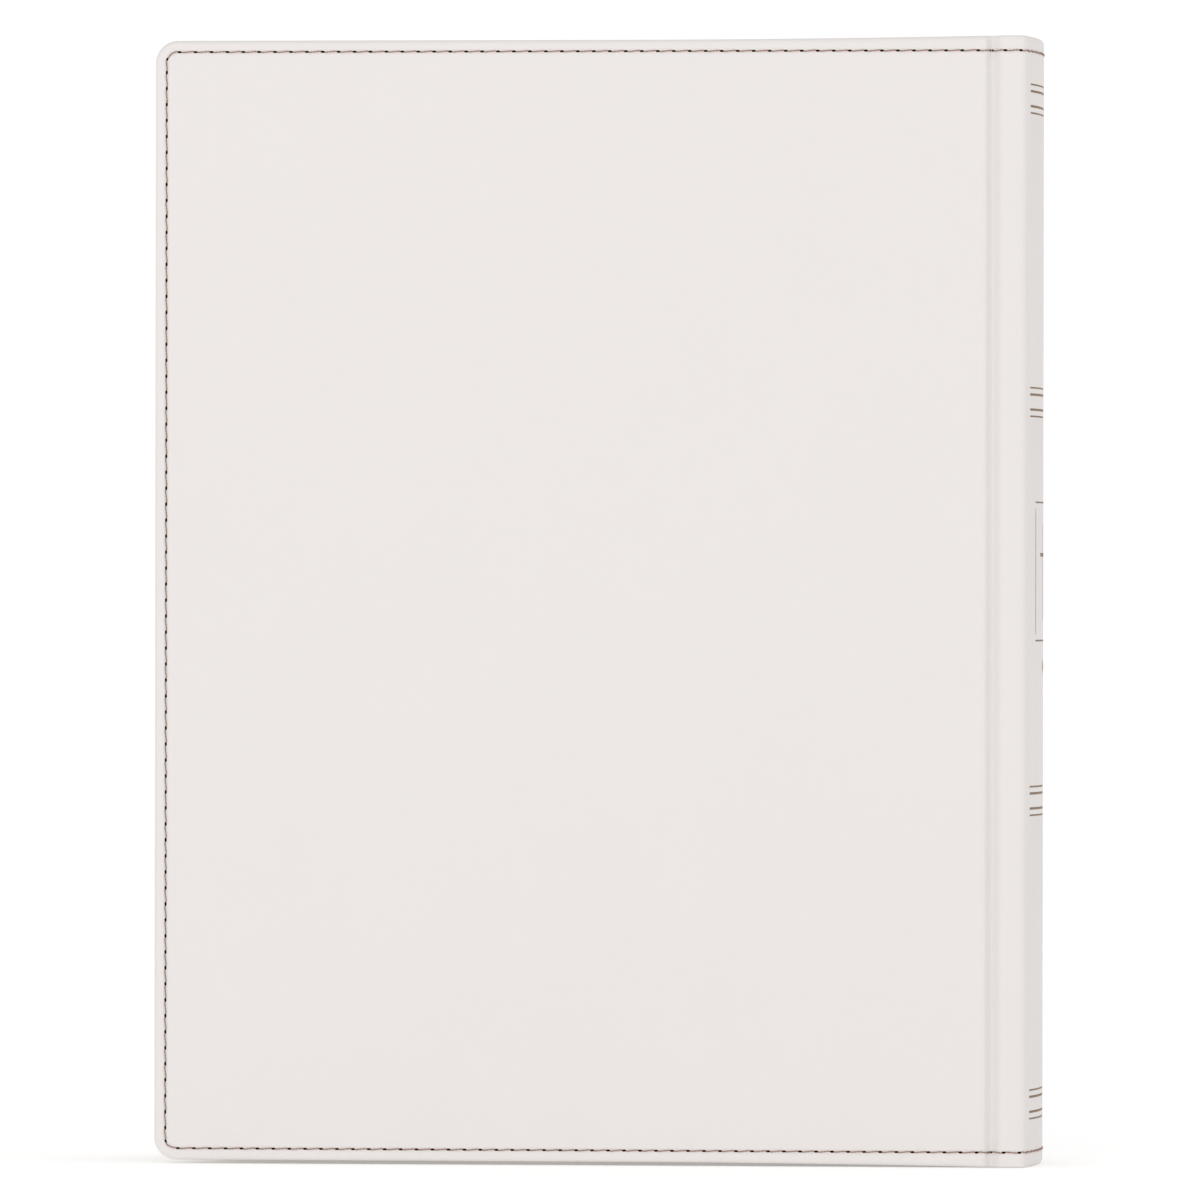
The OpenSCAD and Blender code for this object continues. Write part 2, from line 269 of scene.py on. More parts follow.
class Section:
    """The leather's outer face from the back board round to the front board, by its length."""

    def __init__(self):
        step = mm(0.02)
        x = np.arange(Case.strip_end, Case.shoulder_x, step)
        end = math.atan2(Case.shoulder_y, Case.shoulder_x - Case.spine_x)
        a = np.arange(-math.pi / 2, -end, step / Case.shoulder_round)
        b = np.linspace(-end, 0, 900)
        half = np.concatenate([
            np.stack([x, -Case.outer_y(x)], axis=1),
            np.stack([Case.shoulder_x + Case.shoulder_round * np.cos(a),
                      -Case.shoulder_y + Case.shoulder_round * np.sin(a)], axis=1),
            np.stack([Case.spine_x + Case.spine_radius * np.cos(b),
                      Case.spine_radius * np.sin(b)], axis=1)])
        self.half_count = len(half)
        self.points = np.concatenate([half, (half * (1, -1))[-2::-1]])
        gaps = np.linalg.norm(np.diff(self.points, axis=0), axis=1)
        self.along = np.concatenate([[0], np.cumsum(gaps)])
        self.total = self.along[-1]
        tangent = np.gradient(self.points, axis=0)
        tangent /= np.linalg.norm(tangent, axis=1)[:, None]
        self.normals = np.stack([tangent[:, 1], -tangent[:, 0]], axis=1)

    def at(self, s):
        """The point on the outer face and its outward normal, at a length along the section."""
        point = np.array([np.interp(s, self.along, self.points[:, k]) for k in (0, 1)])
        normal = np.array([np.interp(s, self.along, self.normals[:, k]) for k in (0, 1)])
        return point, normal / np.linalg.norm(normal)

    def length_to(self, x):
        """How far along the section its back half reaches x."""
        n = self.half_count
        return float(np.interp(x, self.points[:n, 0], self.along[:n]))

    def wrapped(self, s):
        """Thickness of the leather and all that it is turned over, at a length along."""
        x, y = self.at(s)[0]
        on_card = 0.0
        if x > Case.shoulder_x:
            on_card = soft_step((Case.card_half - mm(0.1) - abs(y)) / mm(0.4))
        on_board = soft_step((Case.board_edge + mm(0.1) - x) / mm(0.2))
        return 2 * Case.skin + Case.card * on_card + (Case.cover_thick - 2 * Case.skin) * on_board


section = Section()


# ---- Cover and groove leather ----
# Imitation leather in warm white: a matt plastic coat with a very fine pebble on a knitted back.
# It is glued over the board and turned in over three edges, and its stitch line pulls it down.


def white_leather():
    look = Look("white_leather")
    patches = look.noise(mm(24), detail=4.0)
    fine = look.noise(mm(2.4), detail=2.0)
    pebble = look.cells(mm(0.42))
    pores = look.noise(mm(0.16), detail=2.0)
    tone = look.mix(patches, (0.740, 0.705, 0.686), (0.757, 0.722, 0.703))
    look.bump(pebble * 0.6 + pores * 0.25 + fine * 0.15, mm(0.03), strength=0.5)
    return look.surface(look.mix(fine * 0.16, tone, (0.717, 0.680, 0.656)),
                        patches * 0.06 + (0.54 + pebble * 0.08), Specular_IOR_Level=0.22)


# The needle holes' colour is near-black: painted shade standing in for the dark inside each hole.
def painted_hole_shade():
    look = Look("painted_hole_shade")
    return look.surface(look.mix(look.noise(mm(0.2)), (0.012, 0.006, 0.004), (0.03, 0.017, 0.012)),
                        0.95, Specular_IOR_Level=0.0)


class Stitch:
    """Sizes of the two-ply lockstitch that runs round the whole case. ply is the radius of one ply,
    and lay is how far each one lies from the middle of the thread."""

    inset = mm(2.3)
    pitch = mm(3.2)
    ply = mm(0.082)
    lay = mm(0.064)


def settled(x, z):
    """A height on the leather. Its ends stand in a little on the covers, but not on the spine."""
    stand_in = mm(0.70)
    level_to = mm(5)
    slope_to = mm(81)
    fade = mm(5)
    at_head = z > Case.height / 2
    inset = Case.height - z if at_head else z
    t = min(max((x - level_to) / (slope_to - level_to), 0.0), 1.0)
    at_end = stand_in * (1 - t * t)
    pulled = at_end + (stand_in - at_end) * float(soft_step(inset / Stitch.inset))
    inset += pulled * (1 - float(soft_step((inset - Stitch.inset) / fade)))
    return Case.height - inset if at_head else inset


def sink(along, inset, pitch):
    """Depth of the leather's face near the stitch line, with its puckers between the holes."""
    v = (inset - Stitch.inset) / mm(1)
    pull = 0.5 + 0.5 * math.cos(2 * math.pi * along / pitch)
    channel = 0.13 * math.exp(-(v / 0.34) ** 2) * (0.6 + 0.6 * pull)
    broad = 0.045 * math.exp(-(v / 1.1) ** 2) * (0.8 + 0.3 * pull)
    pucker = 0.03 * (1 - pull) * math.exp(-((abs(v) - 0.68) / 0.28) ** 2)
    return mm(channel + broad - pucker)


def edge_rows(thick, along, pitch, stitched_inside):
    """Pairs of inset and depth: in from the face, round the edge and along the turned-in side."""
    outer = (7.0, 5.8, 4.8, 4.1, 3.7, 3.4, 3.18, 3.0, 2.84, 2.7, 2.58, 2.48, 2.39, 2.3, 2.21,
             2.12, 2.02, 1.9, 1.76, 1.6, 1.4, 1.18, 0.96)
    inner = (0.96, 1.18, 1.4, 1.6, 1.76, 1.9, 2.02, 2.14, 2.3, 2.46, 2.6, 2.8, 3.1, 3.6, 4.5, 7.0,
             10.0, 14.7)
    edge = min(Case.edge_round, thick / 2 - mm(0.02))
    turns = [math.radians(a) for a in (15, 30, 45, 60, 75, 90)]
    rows = [(mm(v), sink(along, mm(v), pitch)) for v in outer]
    rows += [(edge * (1 - math.sin(a)), edge * (1 - math.cos(a))) for a in turns]
    rows += [(edge * (1 - math.cos(a)), thick - edge * (1 - math.sin(a))) for a in turns]
    rows += [(mm(v), thick - (sink(along, mm(v), pitch) if stitched_inside else 0.0))
             for v in inner]
    return rows + [(Case.turn_in, thick - mm(0.12)), (Case.turn_in, thick - Case.skin)]


class Edge:
    """The cover's edge from the tail, up the fore-edge and back along the head, by length."""

    run = Case.strip_end - Case.fore_x - Case.corner
    rise = Case.height - 2 * Case.corner
    arc = math.pi / 2 * (Case.corner - Stitch.inset)
    total = 2 * run + rise + 2 * arc
    stitches = round(total / Stitch.pitch)
    pitch = total / stitches

    @classmethod
    def place(cls, along, inset, depth):
        """A point at a length along the stitch line, an inset from the edge and a depth."""
        r = max(Case.corner - inset, mm(0.3))
        left = Case.fore_x + inset + r
        low = inset + r
        at_head = along > cls.total / 2
        u = cls.total - along if at_head else along
        if u <= cls.run:
            x = Case.strip_end - (Case.strip_end - left) * u / cls.run
            z = inset
        elif u <= cls.run + cls.arc:
            a = (u - cls.run) / cls.arc * math.pi / 2
            x = left - r * math.sin(a)
            z = low - r * math.cos(a)
        else:
            x = Case.fore_x + inset
            z = low + (Case.height - 2 * low) * (u - cls.run - cls.arc) / cls.rise
        return (x, depth - Case.half_thick, settled(x, Case.height - z if at_head else z))


class Bend:
    """The stitch line's share of the section, across both grooves and round the spine."""

    stitches = round(section.total / Stitch.pitch)
    pitch = section.total / stitches

    @staticmethod
    def place(at_head):
        def point(along, inset, depth):
            (x, y), (nx, ny) = section.at(along)
            z = settled(x, Case.height - inset if at_head else inset)
            return (x - nx * depth, y - ny * depth, z)
        return point


class Shape:
    """Points and faces gathered from grids and tubes before they become one piece."""

    def __init__(self):
        self.points = []
        self.faces = []
        self.kinds = []

    def add(self, points, faces, kind=0):
        start = len(self.points)
        self.points.extend(points)
        self.faces.extend([tuple(i + start for i in f) for f in faces])
        self.kinds.extend([kind] * len(faces))

    def grid(self, rows, kind=0, closed=False):
        """Joins rows of equal length into quads. closed joins each row's end to its start."""
        across = len(rows[0])
        faces = []
        for i in range(len(rows) - 1):
            for j in range(across if closed else across - 1):
                k = (j + 1) % across
                faces.append((i * across + j, i * across + k, (i + 1) * across + k, (i + 1) * across + j))
        self.add([p for row in rows for p in row], faces, kind)

    def tube(self, rings, kind=0):
        """A closed tube through rings of points, with flat ends."""
        sides = len(rings[0])
        self.grid(rings, kind, closed=True)
        start = len(self.points) - sides * len(rings)
        self.faces.append(tuple(start + j for j in range(sides)))
        self.faces.append(tuple(len(self.points) - 1 - j for j in range(sides)))
        self.kinds.extend([kind, kind])

    def piece(self, name, *materials, side="back", smooth=True):
        """Makes the piece, as drawn at the back or mirrored onto the front."""
        mesh = bpy.data.meshes.new(name)
        flip = -1 if side == "front" else 1
        mesh.from_pydata([(x, flip * y, z) for x, y, z in self.points], [], self.faces)
        for material in materials:
            mesh.materials.append(material)
        mesh.polygons.foreach_set("material_index", self.kinds)
        mesh.polygons.foreach_set("use_smooth", [smooth] * len(mesh.polygons))
        sheet = bmesh.new()
        sheet.from_mesh(mesh)
        bmesh.ops.remove_doubles(sheet, verts=sheet.verts, dist=mm(0.001))
        bmesh.ops.recalc_face_normals(sheet, faces=sheet.faces)
        sheet.to_mesh(mesh)
        sheet.free()
        mesh.update()
        piece = bpy.data.objects.new(name, mesh)
        bpy.context.scene.collection.objects.link(piece)
        return piece


# The stamped lines across the spine: where each lies from the middle, and its width
SPINE_LINES = [(group + at, width) for group in (-100.3, -39.8, 39.8, 100.3)
               for at, width in ((-2.85, 0.35), (-1.5, 0.5), (1.5, 0.5), (2.85, 0.35))]


def stamped(y, z):
    """How deep the die has pressed the foil lines into the spine."""
    pressed = mm(0.07)
    wall = mm(0.16)
    off = min(abs(z - Case.height / 2 - mm(at)) - mm(width / 2) for at, width in SPINE_LINES)
    reach = soft_step((Case.card_half + mm(0.3) - abs(y)) / mm(0.3))
    return float(pressed * soft_step(1 - off / wall) * reach)


def bent_leather(shape, start, end, has_lines=False):
    """Adds leather over a stretch of the section, turned in at the head and the tail."""
    if has_lines:
        heights = sorted(Case.height / 2 + mm(at + side * (width / 2 + off))
                         for at, width in SPINE_LINES for side in (-1, 1)
                         for off in (0.0, 0.08, 0.16))
    else:
        heights = [Case.height * t for t in np.linspace(0.1, 0.9, 9)]
    columns = []
    for along in np.linspace(start, end, max(2, round((end - start) / mm(0.36))) + 1):
        (x, y), (nx, ny) = section.at(along)
        rows = edge_rows(float(section.wrapped(along)), along, Bend.pitch, False)
        column = rows[::-1]
        column += [(z, stamped(y, z) if has_lines else 0.0) for z in heights]
        column += [(Case.height - inset, depth) for inset, depth in rows]
        columns.append([(x - nx * depth, y - ny * depth, settled(x, z)) for z, depth in column])
    shape.grid(columns)


def hole_shade_discs(shape, place, first, count, pitch):
    """Adds a near-black disc a hair above the leather's face at the ends of every stitch: painted shade for
    the inside of each needle hole.
    """
    half_length = mm(0.46)
    half_width = mm(0.23)
    sides = 12
    for i in range(first, first + count + 1):
        along = i * pitch
        ring = []
        for a in np.arange(sides) * math.tau / sides:
            spot = (along + half_length * math.cos(a), Stitch.inset + half_width * math.sin(a))
            ring.append(place(*spot, sink(*spot, pitch) - mm(0.03)))
        shape.add([place(along, Stitch.inset, sink(along, Stitch.inset, pitch) - mm(0.02)), *ring],
                  [(0, 1 + j, 1 + (j + 1) % sides) for j in range(sides)], 1)


def fold_point(side, x):
    """A point on a cover's outer face at x, for where a bend starts or ends."""
    return (x, -Case.half_thick if side == "back" else Case.half_thick, 0.0)


def bend_at_board(piece, side):
    """Works out two points on the outer face at the board's edge, where a bend would start and end, and
    bakes the piece's transform; nothing is made to bend.
    """
    fold_point(side, Case.groove_bottom - mm(0.1))
    fold_point(side, Case.board_edge - mm(0.2))
    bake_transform(piece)


def bend_at_shoulder(piece, side):
    """Works out two points on the outer face at the groove's end, where a bend would start and end, and
    bakes the piece's transform; nothing is made to bend.
    """
    fold_point(side, Case.groove_end + mm(0.5))
    fold_point(side, Case.groove_end - mm(1.1))
    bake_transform(piece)


leather = white_leather()
# Painted shade for the needle holes, on small discs laid over the leather.
hole_shade = painted_hole_shade()


def cover_leather(side):
    shape = Shape()
    stations = np.linspace(0, Edge.total, Edge.stitches * 8 + 1)
    rows = [[Edge.place(u, *row) for row in edge_rows(Case.cover_thick, u, Edge.pitch, True)]
            for u in stations]
    shape.grid(rows)
    ring = [row[0] for row in rows]
    spine_side = [(Case.strip_end, -Case.half_thick, Case.height * t)
                  for t in np.linspace(0.9, 0.1, 9)]
    shape.add(ring + spine_side, [tuple(range(len(ring) + len(spine_side)))])
    bent_leather(shape, 0.0, section.length_to(Case.groove_bottom))
    hole_shade_discs(shape, Edge.place, 0, Edge.stitches, Edge.pitch)

    def inside(along, inset, depth):
        return Edge.place(along, inset, Case.cover_thick - depth)

    hole_shade_discs(shape, inside, 0, Edge.stitches, Edge.pitch)
    return shape.piece(f"{side}_cover_leather", leather, hole_shade, side=side)


def groove_leather(side):
    shape = Shape()
    bent_leather(shape, section.length_to(Case.groove_bottom), section.length_to(Case.shoulder_seam))
    for at_head in (False, True):
        hole_shade_discs(shape, Bend.place(at_head), 1, 0, Bend.pitch)
    return shape.piece(f"{side}_groove_leather", leather, hole_shade, side=side)


for side in ("back", "front"):
    cover = cover_leather(side)
    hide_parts(f"{side}_cover_skin")
    bend_at_board(cover, side)
    groove = groove_leather(side)
    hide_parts(f"{side}_joint_skin")
    bend_at_shoulder(groove, side)

# ---- Greyboards ----
# Millboard cut to size with two rounded corners at the fore-edge, and its sharp arris rubbed off.
# The leather and the endpapers hide it. Its ends stand in as far as the leather's do.


def cut_board(side):
    low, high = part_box("back_board")
    corner = Case.corner - Case.skin
    stand_in = mm(0.75)
    arris = mm(0.15)
    rings = []
    for y, inset in ((low[1], arris), (low[1] + arris, 0.0), (high[1] - arris, 0.0), (high[1], arris)):
        left = low[0] + inset
        tail = low[2] + stand_in + inset
        head = high[2] - stand_in - inset
        r = corner - inset
        turns = [(r * (1 - math.sin(a)), r * (1 - math.cos(a))) for a in np.linspace(0, math.pi / 2, 9)]
        ring = [(high[0], tail), *[(left + x, tail + z) for x, z in turns],
                *[(left + x, head - z) for x, z in turns[::-1]], (high[0], head)]
        rings.append([(x, y, z) for x, z in ring])
    shape = Shape()
    shape.tube(rings)
    return shape.piece(f"{side}_cut_board", millboard, side=side, smooth=False)


for side in ("back", "front"):
    board = cut_board(side)
    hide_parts(f"{side}_board")
    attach(board, f"{side}_cover")

# ---- Spine leather ----
# The same sheet carried round the spine over its card, and turned in at the head and the tail.
# The foil lines are pressed into it in four groups of four.


def spine_leather():
    shape = Shape()
    start = section.length_to(Case.shoulder_seam)
    bent_leather(shape, start, section.total - start, has_lines=True)
    for at_head in (False, True):
        hole_shade_discs(shape, Bend.place(at_head), 2, Bend.stitches - 4, Bend.pitch)
    return shape.piece("spine_leather", leather, hole_shade)


spine = spine_leather()
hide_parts("spine_skin")
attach(spine, "spine")

# ---- Stitching ----
# Two-ply polyester thread in rose-tan, in a lockstitch 2.3 mm from the edge: outside and inside
# on the covers, and on across the grooves and the spine. Each stitch dives into its needle holes.


def stitch_thread():
    look = Look("stitch_thread")
    fibres = look.noise(mm(0.06), detail=2.0)
    runs = look.noise(mm(6.0), detail=2.0)
    tone = look.mix(runs, (0.27, 0.150, 0.105), (0.35, 0.208, 0.152))
    look.bump(fibres, mm(0.02), strength=0.5)
    return look.surface(look.mix(fibres * 0.35, tone, (0.52, 0.35, 0.275)), 0.62 + fibres * 0.1)


def stitch_run(shape, place, first, count, pitch, seed):
    """Adds count stitches. place(along, inset, depth) gives a point on the case."""
    rng = random.Random(seed)
    rings = 15
    turns = 2.1
    hidden = mm(0.47)
    step = mm(0.1)
    sides = np.arange(6) * math.tau / 6
    for i in range(first, first + count):
        slant = mm(0.09 + 0.05 * rng.random())
        height = mm(0.03 + 0.03 * rng.random())
        phase = rng.random() * math.tau
        plies = ([], [])
        for k in range(rings):
            t = 0.08 + 0.84 * k / (rings - 1)
            dive = 1 - float(soft_step(min(t - 0.05, 0.95 - t) / 0.13))
            along = (i + t) * pitch
            inset = Stitch.inset + slant * math.cos(math.pi * t)
            depth = hidden * dive + (mm(0.05) - height) * (1 - dive)
            centre = np.array(place(along, inset, depth))
            across = (np.array(place(along, inset + step, depth)) - centre) / step
            out = (np.array(place(along, inset, depth - step)) - centre) / step
            for ply, turn in zip(plies, (0, math.pi)):
                twist = phase + turn + math.tau * turns * k / (rings - 1)
                middle = centre + Stitch.lay * (across * math.cos(twist) + out * math.sin(twist))
                ply.append([tuple(middle + Stitch.ply * (across * math.cos(a) + out * math.sin(a)))
                            for a in sides])
        for ply in plies:
            shape.tube(ply)


thread = stitch_thread()


def cover_stitches(side):
    shape = Shape()

    def inside(along, inset, depth):
        return Edge.place(along, inset, Case.cover_thick - depth)

    stitch_run(shape, Edge.place, 0, Edge.stitches, Edge.pitch, 7)
    stitch_run(shape, inside, 0, Edge.stitches, Edge.pitch, 11)
    return shape.piece(f"{side}_cover_stitches", thread, side=side)


def bent_stitches(name, first, count, side="back"):
    shape = Shape()
    for at_head in (False, True):
        stitch_run(shape, Bend.place(at_head), first, count, Bend.pitch, 3 + at_head)
    return shape.piece(name, thread, side=side)


for side in ("back", "front"):
    stitches = cover_stitches(side)
    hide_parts(f"{side}_cover_stitching")
    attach(stitches, f"{side}_cover")
    board_stitch = bent_stitches(f"{side}_board_edge_stitch", 0, 1, side)
    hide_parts(f"{side}_joint_stitching")
    bend_at_board(board_stitch, side)
    shoulder_stitch = bent_stitches(f"{side}_shoulder_stitch", 1, 1, side)
    bend_at_shoulder(shoulder_stitch, side)

spine_stitches = bent_stitches("spine_stitches", 2, Bend.stitches - 4)
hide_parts("spine_stitching")
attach(spine_stitches, "spine")

# ---- Foil ----
# Dull gold-tan film pressed in with a hot brass die: lines across the spine, a frame with a plain
# cross and a lozenge in the middle of it, and a slim cross on the front cover.


def stamped_foil():
    look = Look("stamped_foil")
    wear = look.noise(mm(0.5), detail=3.0)
    long_wear = look.noise(mm(7.0), detail=2.0)
    tone = look.mix(long_wear, (0.15, 0.080, 0.028), (0.22, 0.130, 0.052))
    look.bump(wear, mm(0.015), strength=0.4)
    return look.surface(look.mix((wear - 0.66) * 1.5, tone, (0.42, 0.30, 0.17)),
                        0.44 + wear * 0.18, Metallic=0.25)


def spine_bar(shape, y0, y1, z0, z1, depth):
    """A curved bar of foil on the spine, with edges that roll down into the leather."""
    rim = (z1 - z0) * 0.12
    lip = depth + mm(0.03)
    rows = []
    for y in np.linspace(y0, y1, max(1, round(abs(y1 - y0) / mm(0.5))) + 1):
        a = math.asin(y / Case.spine_radius)
        rows.append([(Case.spine_x + (Case.spine_radius - d) * math.cos(a),
                      (Case.spine_radius - d) * math.sin(a), z)
                     for z, d in ((z0, lip), (z0 + rim, depth), (z1 - rim, depth), (z1, lip))])
    shape.grid(rows)


def foil_lines():
    shape = Shape()
    for at, width in SPINE_LINES:
        z = Case.height / 2 + mm(at)
        spine_bar(shape, -Case.card_half, Case.card_half, z - mm(width / 2), z + mm(width / 2),
                  mm(0.045))
    return shape.piece("spine_foil_lines", foil)


def foil_ornament():
    shape = Shape()
    low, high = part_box("spine_foil_ornament")
    lozenge = mm(2.2) / math.sqrt(2)
    foot = low[2] + lozenge + mm(5)
    top = high[2]
    tall = top - foot
    reach = high[1]
    line = mm(0.35)
    bar = mm(0.4)
    raised = mm(-0.02)
    crossing = foot + 0.62 * tall
    for y0, y1, z0, z1 in (
            (-reach, reach, foot, foot + line), (-reach, reach, top - line, top),
            (-reach, line - reach, foot + line, top - line), (reach - line, reach, foot + line, top - line),
            (-bar, bar, crossing - tall / 2, crossing + 0.26 * tall),
            (-reach / 2, -bar, crossing - bar, crossing + bar),
            (bar, reach / 2, crossing - bar, crossing + bar)):
        spine_bar(shape, y0, y1, z0, z1, raised)
    x = cad_box[1][0] - raised
    z = low[2] + lozenge
    shape.add([(x, 0, z), (x, lozenge, z), (x, 0, z + lozenge), (x, -lozenge, z), (x, 0, z - lozenge)],
              [(0, 1, 2), (0, 2, 3), (0, 3, 4), (0, 4, 1)])
    return shape.piece("spine_foil_ornament_film", foil)


def foil_cross():
    shape = Shape()
    low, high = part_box("front_foil_cross")
    middle = (low[0] + high[0]) / 2
    tall = high[2] - low[2]
    crossing = high[2] - tall / 3
    bar = mm(0.5)
    rim = mm(0.1)
    lip = mm(0.04)
    y = high[1] + mm(0.02)
    for x0, x1, z0, z1 in ((middle - bar, middle + bar, low[2], high[2]),
                           (low[0], middle - bar, crossing - bar, crossing + bar),
                           (middle + bar, high[0], crossing - bar, crossing + bar)):
        xs = [(x0, lip), (x0 + rim, 0.0), (x1 - rim, 0.0), (x1, lip)]
        zs = [(z0, lip), (z0 + rim, 0.0), (z1 - rim, 0.0), (z1, lip)]
        shape.grid([[(x, y - max(dx, dz), z) for z, dz in zs] for x, dx in xs])
    return shape.piece("front_foil_cross_film", foil)


foil = stamped_foil()
for piece, node, body in ((foil_lines(), "spine_foil_bands", "spine"),
                          (foil_ornament(), "spine_foil_ornament", "spine"),
                          (foil_cross(), "front_foil_cross", "front_cover")):
    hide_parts(node)
    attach(piece, body)

# ---- Signatures ----
# Thin leaves of bible paper, folded together, sewn through the fold and trimmed on three sides.
# The trimmed edges show fine lines where some leaves stand a hair further out than others,
# and darker streaks in the paper's colour that are painted shade between the leaves.


def page_paper():
    look = Look("page_paper")
    # Fine streaks across the trimmed edges: their darker colour is painted shade in the gaps between
    # leaves, and the same noise gives the edges a slight relief.
    leaf_gap_shade_and_relief = look.noise(mm(0.07), detail=2.0, stretch=(400, 1, 400))
    groups = look.noise(mm(0.45), detail=2.0, stretch=(200, 1, 200))
    mottle = look.noise(mm(9), detail=4.0)
    tone = look.mix(leaf_gap_shade_and_relief, (0.74, 0.69, 0.62), (0.92, 0.878, 0.82))
    look.bump(leaf_gap_shade_and_relief, mm(0.02), strength=0.6)
    plain = look.mix(mottle, (0.86, 0.81, 0.745), (0.90, 0.858, 0.80))
    return look.surface(look.mix(groups * 0.4, tone, plain), 0.85, Specular_IOR_Level=0.25)


def signature(number, paper):
    """One folded gathering, as slim sections of leaves that part a little along the trimmed edges."""
    rng = random.Random(number)
    low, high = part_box(f"signature_{number:02d}")
    middle = (low[1] + high[1]) / 2
    half = (high[1] - low[1]) / 2
    corner = mm(5)
    fold_half = half * 0.5
    parts = 8
    shape = Shape()
    for i in range(parts):
        shares = ((2 * i / parts - 1) + 0.02, (2 * (i + 1) / parts - 1) - 0.02)
        fore = low[0] + mm(0.10) * rng.random()
        tail = low[2] + mm(0.06) * rng.random()
        head = high[2] - mm(0.06) * rng.random()
        corners = [(fore + corner * (1 - math.cos(a)), corner * (1 - math.sin(a)))
                   for a in np.linspace(0, math.pi / 2, 7)]
        stations = corners + [(high[0] - mm(t), 0.0) for t in (8, 6, 4, 2.5, 1.2, 0.5, 0.12, 0)]
        rings = []
        for x, rise in stations:
            near = min(1.0, (high[0] - x) / mm(8))
            thick = fold_half + (half - fold_half) * float(soft_step(near) * 0.35 + near * 0.65)
            if high[0] - x < fold_half:
                across = 1 - (high[0] - x) / fold_half
                thick = fold_half * math.sqrt(max(0.0, 1 - across * across)) + mm(0.01)
            rings.append([(x, middle + thick * share, z) for share, z in (
                (shares[0], tail + rise), (shares[0], head - rise),
                (shares[1], head - rise), (shares[1], tail + rise))])
        shape.tube(rings)
    piece = shape.piece(f"signature_{number:02d}_leaves", paper, smooth=False)
    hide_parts(f"signature_{number:02d}")
    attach(piece, f"signature_{number:02d}")


paper = page_paper()
signature_count = sum(name.startswith("signature_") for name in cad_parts)
for number in range(1, signature_count + 1):
    signature(number, paper)

# ---- Back of the text block ----
# Linen thread at six sewing stations, starched gauze over the folds, with flaps that are glued
# to the boards, and brown kraft paper over the gauze.


def linen_thread():
    look = Look("linen_thread")
    twist = look.noise(mm(0.15), detail=2.0, stretch=(1, 1, 3))
    look.bump(twist, mm(0.05), strength=0.7)
    return look.surface(look.mix(twist, (0.72, 0.67, 0.56), (0.90, 0.87, 0.80)), 0.8)


def starched_gauze():
    look = Look("starched_gauze")
    warp = look.node("ShaderNodeTexWave", {"bands_direction": "Z"}, Vector=look.scaled(mm(1.0)),
                     Scale=0.32, Distortion=0.4)
    weft = look.node("ShaderNodeTexWave", {"bands_direction": "X"}, Vector=look.scaled(mm(1.0)),
                     Scale=0.32, Distortion=0.4)
    weave = warp.math("MAXIMUM", warp, weft)
    look.bump(weave, mm(0.12), strength=0.8)
    return look.surface(look.mix(weave, (0.50, 0.45, 0.35), (0.86, 0.82, 0.73)), 0.9)


def kraft_paper():
    look = Look("kraft_paper")
    ribs = look.noise(mm(0.6), detail=3.0, stretch=(1, 1, 30))
    look.bump(ribs, mm(0.04), strength=0.5)
    return look.surface(look.mix(ribs, (0.40, 0.25, 0.13), (0.55, 0.38, 0.22)), 0.85)


coat_solids(linen_thread(), "sewing_threads")
coat_solids(starched_gauze(), "spine_gauze", "back_gauze_flap", "front_gauze_flap")
coat_solids(kraft_paper(), "spine_lining")

# ---- Head and tail bands ----
# A cord wrapped in cream and tan silk by turns, on a tape that is glued to the back of the folds.


BAND_TURN = mm(0.44)


def band_weave():
    look = Look("band_weave")
    stripe = look.axis("Y") * (math.tau / (2 * BAND_TURN))
    tan = stripe.math("SINE", stripe) > 0.0
    silk = look.noise(mm(0.05), detail=2.0, stretch=(6, 1, 6))
    look.bump(silk, mm(0.02), strength=0.5)
    return look.surface(look.mix(silk * 0.3, look.mix(tan, (0.86, 0.80, 0.68), (0.52, 0.33, 0.20)),
                                 (0.95, 0.92, 0.84)), 0.45 + silk * 0.2)


def wrapped_band(name, at_head, weave):
    shape = Shape()
    low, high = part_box(name)
    radius = mm(0.7)
    bead_z = high[2] - radius if at_head else low[2] + radius
    arc = Case.spine_radius - mm(3.7)
    reach = math.asin(high[1] / arc) * arc
    rings = []
    for s in np.linspace(-reach, reach, round(2 * reach / BAND_TURN * 6) + 1):
        a = s / arc
        bulge = radius * (0.86 + 0.14 * abs(math.sin(math.pi * s / BAND_TURN)))
        rings.append([(Case.spine_x + (arc + bulge * math.cos(b)) * math.cos(a),
                       (arc + bulge * math.cos(b)) * math.sin(a), bead_z + bulge * math.sin(b))
                      for b in np.arange(14) * math.tau / 14])
    shape.tube(rings)
    tape_in = arc + mm(0.4)
    tape_out = arc + mm(0.8)
    z0, z1 = (low[2], bead_z) if at_head else (bead_z, high[2])
    rows = []
    for s in np.linspace(-reach, reach, 41):
        a = s / arc
        rows.append([(Case.spine_x + r * math.cos(a), r * math.sin(a), z)
                     for r, z in ((tape_in, z0), (tape_out, z0), (tape_out, z1), (tape_in, z1))])
    shape.tube(rows)
    piece = shape.piece(f"{name}_silk", weave)
    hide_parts(name)
    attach(piece, "spine")


weave = band_weave()
wrapped_band("head_band", True, weave)
wrapped_band("tail_band", False, weave)

# ---- Endpapers ----
# Ivory paper with a soft tooth. One half is the free flyleaf. The other runs down into the groove
# and is pasted to the board, where the turned-in leather and the gauze show through as soft steps.


def endpaper():
    look = Look("endpaper")
    fibres = look.noise(mm(0.35), detail=4.0, stretch=(1, 1, 2.2))
    clouds = look.noise(mm(14), detail=4.0)
    tone = look.mix(clouds, (0.80, 0.755, 0.665), (0.855, 0.815, 0.73))
    look.bump(fibres, mm(0.02), strength=0.6)
    return look.surface(look.mix(fibres * 0.3, tone, (0.90, 0.865, 0.79)), 0.82,
                        Specular_IOR_Level=0.25)


